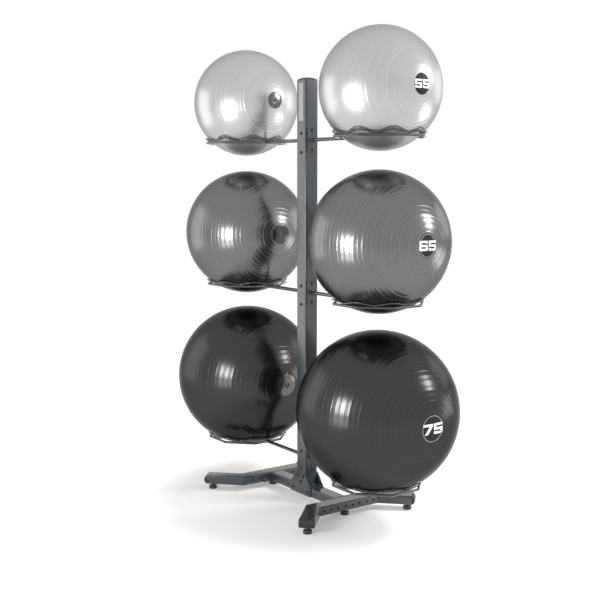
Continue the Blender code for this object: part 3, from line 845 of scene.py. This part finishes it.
# Foot frame: legs, beam, gussets, end caps and feet
basePlan = {
    "tubeWidth": 0.075,
    "straight": 0.3776,
    "arm": 0.184,
    "splay": radians(45),
    "holePitch": 0.043,
    "holeCount": 8,
    "holeRadius": 0.00525,
    "footHole": 0.0053,
    "footInset": 0.023,
    "mitreBead": 0.42,  # sizes of beads, as shares of the plain one
    "mitreStep": 0.0030,
    "flangeBolt": 1.5,  # the bolts to the beam's flange, in hole pitches from the middle
    "flangeLength": 0.175,
    "flangeThickness": 0.006,
    "flangeCorner": 0.004,
    "flangeEdge": 0.0007,
    "flangeBead": 0.8,
    "flangeBeadInset": 0.003,
    "beamHole": 0.1134,  # the spare holes through the beam's sides, from the post's axis
    "gussetHalf": 0.087,
    "gussetShoulder": 0.040,
    "gussetCorner": 0.0035,
    "gussetEdge": 0.0008,
}
beamLow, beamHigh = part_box("central_beam")
wide, tall = basePlan["tubeWidth"], beamHigh.z - beamLow.z
axisZ = middleOf("central_beam").z  # height of the axes of the beam and the legs
legX = middleOf("foot_right_middle").x


def legPoint(run):
    # A point of a leg's splayed end, so far from the mitre
    splay = basePlan["splay"]
    return run * sin(splay), basePlan["straight"] / 2 + run * cos(splay)


def legStations():
    # Two ends and two mitres, each as centre, across and up
    splay = basePlan["splay"]
    x, y = legPoint(basePlan["arm"])
    stations = []
    for way in (-1, 1):
        tip = ((x, way * y, axisZ), (cos(splay), -way * sin(splay), 0), up)
        mitre = ((0, way * basePlan["straight"] / 2, axisZ), (1.0, -way * tan(splay / 2), 0), up)
        stations += (tip, mitre)[::-way]
    return stations


def addLegs():
    plan = basePlan
    holes = []
    boltY = plan["flangeBolt"] * plan["holePitch"]
    for i in range(plan["holeCount"]):
        y = (i - (plan["holeCount"] - 1) / 2) * plan["holePitch"]
        if abs(abs(y) - boltY) > plan["holeRadius"]:
            holes.append(((-wide, y, axisZ), (wide, y, axisZ), plan["holeRadius"]))
    footX, footY = legPoint(plan["arm"] - plan["footInset"])
    for x, y in ((footX, -footY), (0, 0), (footX, footY)):
        holes.append(((x, y, 0), (x, y, axisZ), plan["footHole"]))
    stations = legStations()
    mesh = drilled("dressedLeg", tube(stations, wide, tall), holes)
    beads = bmesh.new()
    outline = roundRect(wide, tall, tubePlan["corner"])
    for station in stations[1:3]:
        seam(beads, ring(outline, *station), True, plan["mitreBead"], plan["mitreStep"])
    bead = meshOf("mitreWelds", beads, 60)
    bolt = boltMesh("flangeBolt", (wide / 2, 0, 0), (-wide / 2 - hair - plan["flangeThickness"], 0, 0))
    for side, way, turn in sides:
        place = (way * legX, 0, 0)
        piece("dressed_leg_" + side, mesh, paint, place, turn, ["leg_" + side])
        piece("mitre_welds_" + side, bead, paint, place, turn, level=False)
        for front, at in fronts:
            spot = (way * legX, at * boltY, axisZ)
            piece(f"flange_bolt_{side}_{front}", bolt, zinc, spot, turn, level=False)


def addBeam():
    plan = basePlan
    reach = beamHigh.x
    tubeEnd = reach - plan["flangeThickness"]
    blank = tube([((x, 0, axisZ), *endOn) for x in (-tubeEnd, tubeEnd)], wide, tall)
    holes = [((x, -wide, axisZ), (x, wide, axisZ), plan["holeRadius"]) for x in (-plan["beamHole"], plan["beamHole"])]
    bm = bmesh.new()
    bm.from_mesh(drilled("beamTube", blank, holes))
    flange = roundRect(tall, plan["flangeLength"], plan["flangeCorner"])
    around = roundRect(wide, tall - plan["flangeBeadInset"], tubePlan["corner"])
    for way in (-1, 1):
        face, run = (way * reach, 0, axisZ), (-way, 0, 0)
        plate(flange, plan["flangeThickness"], plan["flangeEdge"], face, run, upended, bm)
        seam(bm, ring(around, (way * tubeEnd, 0, axisZ), *endOn), True, plan["flangeBead"])
    piece("dressed_beam", meshOf("dressedBeam", bm), paint, nodes=["central_beam"])


def addGussets():
    half, shoulder, corner = [basePlan["gusset" + word] for word in ("Half", "Shoulder", "Corner")]
    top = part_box("post")[1].y
    for front, _ in fronts:
        low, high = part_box("gusset_" + front)
        rise = high.z - low.z
        corners = ((-half, 0), (half, 0), (half, shoulder), (top, rise), (-top, rise), (-half, shoulder))
        outline = [(x, z - rise / 2) for x, z in rounded([(x, z, corner) for x, z in corners], 4)]
        face = (0, low.y, low.z + rise / 2)
        bm = plate(outline, high.y - low.y, basePlan["gussetEdge"], face, (0, 1, 0), facing)
        mesh = meshOf("dressed" + front.title() + "Gusset", bm)
        piece("dressed_gusset_" + front, mesh, paint, nodes=["gusset_" + front])


legCapPlan = {
    "insert": 0.015,
    "insertCorner": 0.003,
    "length": 0.016,
    "corner": 0.008,
    "lip": 0.0006,
    "tip": 0.0012,  # least half height, at the end of the nose
    "steps": 12,
}


def addLegCaps():
    # Plug-in cap with a half-round nose; its rim stands a hair inside the tube's outline
    plan = legCapPlan
    length, bend = plan["length"], plan["corner"]
    clear = 2 * (tubePlan["wall"] + hair)
    sweep = ((tall / 2) ** 2 + length ** 2) / (2 * length)
    insert = roundRect(wide - clear, tall - clear, plan["insertCorner"])
    rings = [ring(insert, (x, 0, 0), *endOn) for x in (-plan["insert"], hair)]
    for k in range(plan["steps"] + 1):
        x = length * (1 - (1 - k / plan["steps"]) ** 1.6)
        half = max(sqrt(max(sweep ** 2 - (sweep - length + x) ** 2, 0)), plan["tip"])
        past = max(0.0, x - (length - bend))
        pull = bend - sqrt(max(bend ** 2 - past ** 2, 0))
        lip = 0.0 if k else plan["lip"]
        corner = min(tubePlan["corner"], half * 0.8)
        outline = roundRect(wide - 2 * (pull + lip), 2 * (half - min(lip, half * 0.1)), corner)
        rings.append(ring(outline, (x + hair, 0, 0), *endOn))
    mesh = meshOf("dressedLegCap", loft(rings), 50)
    endX, endY = legPoint(basePlan["arm"])
    for side, way, turn in sides:
        for front, at in fronts:
            place = (way * (legX + endX), at * endY, axisZ)
            swing = turn + way * at * (pi / 2 - basePlan["splay"])
            name = f"leg_cap_{side}_{front}"
            piece("dressed_" + name, mesh, capPlastic, place, swing, [name])


footPiecePlan = {
    "radius": 0.021,
    "height": 0.017,
    "nutFlats": 0.017,
    "nutHeight": 0.006,
    "stud": 0.005,
    "threadPitch": 0.0015,
    "threadSunk": 0.001,
    "top": 0.058,
}


def addFeet():
    # Straight pad with a grooved rim, then the lock nut and the threaded stud
    plan = footPiecePlan
    pad, height, nut = plan["radius"], plan["height"], plan["nutHeight"]
    profile = [(0, 0), (pad * 0.45, 0.0), (pad * 0.5, 0.0006), (pad * 0.56, 0.0), (pad - 0.0016, 0),
               (pad - 0.0004, 0.0005), (pad, 0.0018), (pad, height * 0.28), (pad - 0.0009, height * 0.34),
               (pad - 0.0009, height * 0.40), (pad, height * 0.46), (pad, height * 0.88),
               (pad - 0.0004, height * 0.95), (pad - 0.0016, height * 0.98), (pad - 0.0030, height), (0, height)]
    metal = bmesh.new()
    hexLump(metal, plan["nutFlats"], nut - hair, Matrix.Translation((0, 0, height + hair)))
    start = height + nut - plan["threadSunk"]
    threadEnd(metal, plan["stud"], start, plan["top"], plan["threadPitch"], Matrix.Identity(4), 28)
    padMesh = meshOf("footPad", lathe(profile, 56), 40)
    studMesh = meshOf("footStud", metal, 28)
    for name in sorted(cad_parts):
        if name.startswith("foot_"):
            middle = middleOf(name)
            place = (middle.x, middle.y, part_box(name)[0].z)
            piece("pad_" + name, padMesh, footRubber, place, nodes=[name], level=False, body=name)
            piece("stud_" + name, studMesh, zinc, place, level=False, body=name)


addLegs()
addBeam()
addGussets()
addLegCaps()
addFeet()
print("foot frame made")


# Balls: ridged vinyl turned about X, a glossy disc round the valve towards the post and a number patch facing outward
ballPlan = {
    "segments": 168,
    "step": radians(2.2),
    "inset": 0.0007,  # how far the skin lies inside the ball's full size, which its ridges and print reach
    "ridgeHalf": 0.0017,
    "ridgeHeight": 0.0004,
    "ridgeStop": 0.004,  # least angle between the last ridge and the groove
    "discShare": 0.155,  # radius of the valve disc, as a share of the ball's
    "discLift": 0.0001,
    "discSkin": 0.00045,
    "discEdge": 0.0005,  # width of the disc's rounded edge, and how far it drops
    "discDrop": 0.00015,
    "grooveHalf": 0.0011,  # half the width of the groove round the disc
    "grooveDepth": 0.0012,
    "wellRadius": 0.014,  # the well that the stopper sits in
    "wellRim": 0.0006,  # bare skin between the well and the disc
    "wellDraft": 0.0008,
    "wellDepth": 0.0035,
    "neckRadius": 0.0052,
    "neckDepth": 0.0125,
}


def onSphere(reach, outward):
    # Turned about Z: the point at this distance from the centre and from the axis, on the valve's side
    return (outward, -sqrt(reach ** 2 - outward ** 2))


def wellFloor(radius):
    # Distance from the ball's centre to the floor of the well
    return sqrt(radius ** 2 - ballPlan["wellRadius"] ** 2) - ballPlan["wellDepth"]


def ballMesh(tier, full):
    plan = ballPlan
    radius = full - plan["inset"]
    rim, groove, well = radius * plan["discShare"], plan["grooveHalf"], plan["wellRadius"]
    lastAngle = pi - asin((rim + groove) / radius)
    marks = {0.0: 0.0}  # the angles of the profile's points from the pole, and how high each is
    bare = 0.0
    while bare < lastAngle - plan["step"] * 0.5:
        marks[bare] = 0.0
        bare += plan["step"]
    half = plan["ridgeHalf"] / radius
    for degrees, strength in ringPlan[tier]["rings"]:
        for middle in (radians(degrees), pi - radians(degrees)):
            if middle + half > lastAngle - plan["ridgeStop"]:
                continue
            for mark in [m for m in marks if abs(m - middle) < half * 1.5]:
                del marks[mark]
            for k in range(-3, 4):
                share = k / 3
                marks[middle + share * half] = plan["ridgeHeight"] * strength * (1 + cos(pi * share)) / 2
    profile = [((radius + marks[a]) * sin(a), (radius + marks[a]) * cos(a)) for a in sorted(marks)]
    profile[0] = (0, radius)
    # the groove round the disc, the bed that the disc lies on, the stopper's well and the valve's neck
    for out, drop in ((1.0, 0.0), (0.75, 0.5), (0.4, 0.95), (-0.4, 0.95), (-0.75, 0.5), (-1.0, 0.0)):
        profile.append(onSphere(radius - plan["grooveDepth"] * drop, rim + out * groove))
    for k in range(1, 9):
        profile.append(onSphere(radius, rim - groove + (well - rim + groove) * k / 8))
    floor, neck = -wellFloor(full), plan["neckRadius"]
    top = floor + plan["neckDepth"]
    bm = lathe(profile + [(well - plan["wellDraft"], floor), (neck, floor), (neck, top), (0, top)], plan["segments"])
    return meshOf(tier + "Ball", laidDown(bm), 50)


def discMesh(tier, full):
    # Glossy disc that follows the ball between the groove and the well
    plan = ballPlan
    radius = full - plan["inset"]
    edge = plan["discEdge"]
    inner = plan["wellRadius"] + plan["wellRim"]
    outer = radius * plan["discShare"] - plan["grooveHalf"] * 1.1
    bottom, top = radius + plan["discLift"], radius + plan["discSkin"]
    shoulder = top - plan["discDrop"]
    spread = [inner + edge + (outer - inner - 2 * edge) * k / 12 for k in range(13)]
    profile = [onSphere(bottom, r) for r in (inner, (inner + outer) / 2, outer)]
    profile += [onSphere(shoulder, outer)] + [onSphere(top, r) for r in reversed(spread)]
    profile += [onSphere(shoulder, inner), onSphere(bottom, inner)]
    bm = lathe(profile, 96)
    bmesh.ops.remove_doubles(bm, verts=bm.verts, dist=0.00001)
    return meshOf(tier + "ValveDisc", laidDown(bm), 50)


plugPiecePlan = {
    "head": 0.012,
    "headHeight": 0.0022,
    "grip": 0.005,
    "gripHeight": 0.0035,
    "stem": 0.0047,
    "stemLength": 0.011,
}


def plugMesh(plan):
    # Stopper: flat head with a round grip, and a stem with a sealing rib; its stem points along +X
    head, rise = plan["head"], plan["headHeight"]
    grip, top = plan["grip"], plan["headHeight"] + plan["gripHeight"]
    stem, length = plan["stem"], plan["stemLength"]
    profile = [(0, top), (grip * 0.55, top), (grip * 0.85, top - 0.0003), (grip, top - 0.0012),
               (grip * 0.96, rise + 0.0008), (grip * 1.15, rise), (head * 0.55, rise - 0.0002),
               (head * 0.8, rise - 0.0001), (head * 0.93, rise - 0.0006), (head, rise * 0.45), (head * 0.97, 0.0002),
               (head * 0.9, 0), (stem * 0.86, 0), (stem * 0.86, -0.002), (stem, -0.0032), (stem, -0.0040),
               (stem * 0.86, -0.0050), (stem * 0.84, -length * 0.82), (stem * 0.6, -length), (0, -length)]
    return meshOf("valveStopper", laidDown(lathe(profile, 40), -1), 40)


# Number patches: a dark oval with wide pale figures that reach its sides
patchPlan = {
    "top": {"text": "55", "disc": (0.0836, 0.0926), "block": (0.078, 0.0368), "line": 0.0, "at": 0.0, "roll": 0.0},
    "mid": {"text": "65", "disc": (0.0932, 0.1087), "block": (0.0944, 0.0432), "line": 0.93, "at": 0.0, "roll": 0.0},
    "bottom": {"text": "75", "disc": (0.118, 0.118), "block": (0.110, 0.047), "line": 0.985, "at": -0.008,
               "roll": radians(1)},
    "figureGap": 0.0048,
    "lineWidth": 0.0022,
    "lineSunk": 0.00003,  # how far under the figures' back the line begins
    "lift": 0.0001,
    "thickness": 0.00025,
    "figureLift": 0.00005,
}


def figureLoops(figure, w, h):
    # Loops of a figure in a box of width w and height h: the outer one, then its hole
    t, s, r = h * 0.22, w * 0.25, h * 0.16
    mid = h * 0.5
    if figure == "5":
        outer = [(0, h, r * 0.3), (w, h, r * 0.3), (w, h - t, r * 0.3), (s, h - t, 0), (s, mid + t * 0.5, 0),
                 (w, mid + t * 0.5, r), (w, 0, r), (0, 0, r), (0, t * 1.25, r * 0.3), (s, t * 1.25, 0), (s, t, 0),
                 (w - s, t, r * 0.4), (w - s, mid - t * 0.5, r * 0.4), (0, mid - t * 0.5, r * 0.3)]
        return [outer]
    if figure == "6":
        outer = [(0, h, r), (w, h, r * 0.8), (w, h - t * 1.15, r * 0.3), (w - s, h - t * 1.15, 0), (w - s, h - t, 0),
                 (s, h - t, r * 0.4), (s, mid + t * 0.5, 0), (w, mid + t * 0.5, r), (w, 0, r), (0, 0, r)]
        hole = [(s, mid - t * 0.5, r * 0.4), (w - s, mid - t * 0.5, r * 0.4), (w - s, t, r * 0.4), (s, t, r * 0.4)]
        return [outer, hole]
    outer = [(0, h, r * 0.3), (w, h, r * 0.3), (w, h - t * 0.9, 0), (w * 0.47, 0, r * 0.3), (w * 0.14, 0, r * 0.3),
             (w * 0.66, h - t, 0), (0, h - t, r * 0.3)]
    return [outer]


def figureMesh(bm, figure, left, bottom, w, h, thickness):
    # A flat figure with its front at Z = thickness, ready to be wrapped on the ball
    loops = [[Vector((p.x + left, p.y + bottom, 0)) for p in rounded(points)] for points in figureLoops(figure, w, h)]
    joined = [p for loop in loops for p in loop]
    back, front = [[bm.verts.new((p.x, p.y, z)) for p in joined] for z in (0, thickness)]
    for a, b, c in tessellate_polygon(loops):
        bm.faces.new((front[a], front[b], front[c]))
        bm.faces.new((back[c], back[b], back[a]))
    start = 0
    for loop in loops:
        count = len(loop)
        for i in range(count):
            a, b = start + i, start + (i + 1) % count
            bm.faces.new((back[a], back[b], front[b], front[a]))
        start += count


def wrapped(bm, radius, roll, cells, reach):
    # Cuts a flat mesh into cells and wraps it round the ball's +X pole; its X goes to +Y and its Y to +Z
    for axis in (Vector((1, 0, 0)), Vector((0, 1, 0))):
        for k in range(1, cells):
            at = axis * (reach * (2 * k / cells - 1))
            geometry = bm.verts[:] + bm.edges[:] + bm.faces[:]
            bmesh.ops.bisect_plane(bm, geom=geometry, plane_co=at, plane_no=axis, dist=1e-7)
    turn = Matrix.Rotation(roll, 2)
    for vertex in bm.verts:
        flat = turn @ Vector((vertex.co.x, vertex.co.y))
        outward = Vector((sqrt(radius ** 2 - flat.length_squared), flat.x, flat.y)).normalized()
        vertex.co = outward * (radius + vertex.co.z)


def patchMeshes(tier, full):
    # The dark oval, the figures and the thin line near its rim, where there is one
    plan = patchPlan[tier]
    radius = full - ballPlan["inset"]
    lift, thick = patchPlan["lift"], patchPlan["thickness"]
    width, height = plan["disc"]

    def ovals(sizes, count):
        # Rings on the patch, each given as its width, height and Z
        return [ring([(x * w / 2, y * h / 2 + plan["at"]) for x, y in circle(1.0, count)], (0, 0, z), *lying)
                for w, h, z in sizes]

    levels = ((0.5, lift), (1.0, lift), (1.0, lift + thick), (0.5, lift + thick))
    flat = loft(ovals([(width * share, height * share, z) for share, z in levels], 72))
    wrapped(flat, radius, 0.0, 16, height * 0.65)
    top = lift + thick + patchPlan["figureLift"]
    pale = bmesh.new()
    blockWidth, h = plan["block"]
    space = patchPlan["figureGap"]
    w = (blockWidth - space) / 2
    for i, figure in enumerate(plan["text"]):
        figureMesh(pale, figure, (i - 1) * w + (i - 0.5) * space, plan["at"] - h / 2, w, h, thick)
    bmesh.ops.translate(pale, verts=pale.verts, vec=(0, 0, top))
    wrapped(pale, radius, plan["roll"], 24, height * 0.65)
    meshes = {"disc": (meshOf(tier + "PatchDisc", flat, 40), darkInk),
              "figures": (meshOf(tier + "PatchFigures", pale, 40), paleInk)}
    if plan["line"]:
        low, high = top - patchPlan["lineSunk"], top + thick * 0.5
        across, tallest = width * plan["line"], height * plan["line"]
        levels = [(-2 * patchPlan["lineWidth"], low), (0, low), (0, high), (-2 * patchPlan["lineWidth"], high)]
        line = loft(ovals([(across + grow, tallest + grow, z) for grow, z in levels], 96), closed=True)
        wrapped(line, radius, 0.0, 1, height)
        meshes["line"] = (meshOf(tier + "PatchLine", line, 40), lineInk)
    return meshes


def addBalls():
    stopper = plugMesh(plugPiecePlan)
    for tier in tiers:
        low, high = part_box(f"ball_{tier}_right")
        radius = (high.y - low.y) / 2
        skin, disc, patch = ballMesh(tier, radius), discMesh(tier, radius), patchMeshes(tier, radius)
        for side, way, turn in sides:
            label = f"{tier}_{side}"
            name = "ball_" + label
            low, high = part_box(name)
            centre = middleOf(name)
            centre.x = high.x - radius if way > 0 else low.x + radius
            piece("dressed_" + name, skin, vinyl[tier], centre, turn, [name], False, name)
            piece("valve_disc_" + label, disc, discs[tier], centre, turn, level=False, body=name)
            for part, (mesh, ink) in patch.items():
                piece(f"patch_{part}_{label}", mesh, ink, centre, turn, level=False, body=name)
            seat = centre + Vector((-way * (wellFloor(radius) + hair), 0, 0))
            plug = "plug_" + label
            piece("stopper_" + label, stopper, plugPlastic, seat, turn, [plug], False, plug)


addBalls()
print("balls made")


# Floor, light and camera
floorPlan = {"radius": 9.0, "tone": 0.92, "glow": 1.17, "share": 0.2, "fadeStart": 0.62, "fadeEnd": 1.0}


def addFloor():
    # Takes the rack's shadow near it and glows like the background farther out, on the rays that the camera sees
    plan = floorPlan
    bm = bmesh.new()
    bm.faces.new([bm.verts.new((x, y, 0)) for x, y in circle(plan["radius"], 96)])
    mesh = meshOf("studioFloor", bm)
    floor = added("studioFloor", mesh)
    look = Finish("paleStudioFloor")
    tone = look.varied(look.noise(3, 3), (plan["tone"],) * 3, 0.99, 1.01)
    mesh.materials.append(look.surface(baseColor=tone, roughness=0.9, specularIorLevel=0.1))
    far = look.between(look.fromCentre(), plan["fadeStart"], plan["fadeEnd"])
    share = look.seen() * (plan["share"] + (1 - plan["share"]) * far)
    glow = look.node("ShaderNodeEmission", None, {"Color": (1, 1, 1, 1), "Strength": plan["glow"]})
    look.blended(share, Sock(look, look.shader.outputs[0]), glow, "Material Output")


lampPlan = {
    "frontBox": {"at": (0.62, -3.02, 1.25), "aim": (0.0, 0.0, 1.1), "size": (0.78, 0.9), "watts": 52},
    "frontLow": {"at": (0.55, -3.0, 0.30), "aim": (0.0, 0.0, 0.8), "size": (1.1, 0.5), "watts": 7},
    "backBox": {"at": (3.15, 3.05, 3.0), "aim": (0.1, 0.0, 1.1), "size": (0.72, 0.95), "watts": 44},
    "backLow": {"at": (1.6, 2.6, 0.62), "aim": (0.55, 0.0, 1.9), "size": (1.1, 0.8), "watts": 9},
    "backPanel": {"at": (0.5, 4.3, 2.3), "aim": (0.2, 0.0, 1.6), "size": (2.0, 1.8), "watts": 17},
    "legLight": {"at": (1.02, 0.44, 0.11), "aim": (0.35, 0.12, 0.06), "size": (0.55, 0.2), "watts": 3,
                 "mirrored": False},
    "topWash": {"at": (1.9, 2.2, 4.2), "aim": (0.0, 0.0, 0.3), "size": (1.6, 1.6), "watts": 175, "mirrored": False},
    "leftPanel": {"at": (-3.2, -2.3, 1.55), "aim": (0.0, 0.0, 1.3), "size": (2.4, 3.0), "watts": 27},
}
worldPlan = {"ambient": 0.60, "seen": 1.0}


def addLamps():
    for name, plan in lampPlan.items():
        lamp = bpy.data.lights.new(name, "AREA")
        lamp.shape = "RECTANGLE"
        lamp.size, lamp.size_y = plan["size"]
        lamp.energy = plan["watts"]
        made = added(name, lamp)
        made.location = plan["at"]
        made.rotation_euler = (Vector(plan["aim"]) - Vector(plan["at"])).to_track_quat("-Z", "Y").to_euler()
        made.visible_camera = False
        made.visible_glossy = plan.get("mirrored", True)


def addWorld():
    # A white room to the camera's rays, and a dimmer one that lights the rack
    world = bpy.data.worlds.new("softStudio")
    bpy.context.scene.world = world
    world.use_nodes = True
    room = Graph(world.node_tree)
    light = room.tree.nodes["Background"]
    room.feed(light.inputs["Color"], (1, 1, 1, 1))
    room.feed(light.inputs["Strength"], worldPlan["ambient"])
    shown = room.node("ShaderNodeBackground", None, {"Color": (1, 1, 1, 1), "Strength": worldPlan["seen"]})
    room.blended(room.seen(), Sock(room, light.outputs[0]), shown, "World Output")


cameraPlan = {"at": (4.0838, -2.9438, 1.6079), "down": 6.7206, "heading": 54.6186, "lens": 61.13, "sensor": 36}


def addCamera():
    plan = cameraPlan
    camera = bpy.data.cameras.new("photoView")
    camera.lens = plan["lens"]
    camera.sensor_width = plan["sensor"]
    made = added("photoView", camera)
    made.location = plan["at"]
    made.rotation_euler = (radians(90 - plan["down"]), 0, radians(plan["heading"]))
    bpy.context.scene.camera = made


addFloor()
addLamps()
addWorld()
addCamera()
bpy.context.scene.view_settings.view_transform = "Standard"
print("studio made")
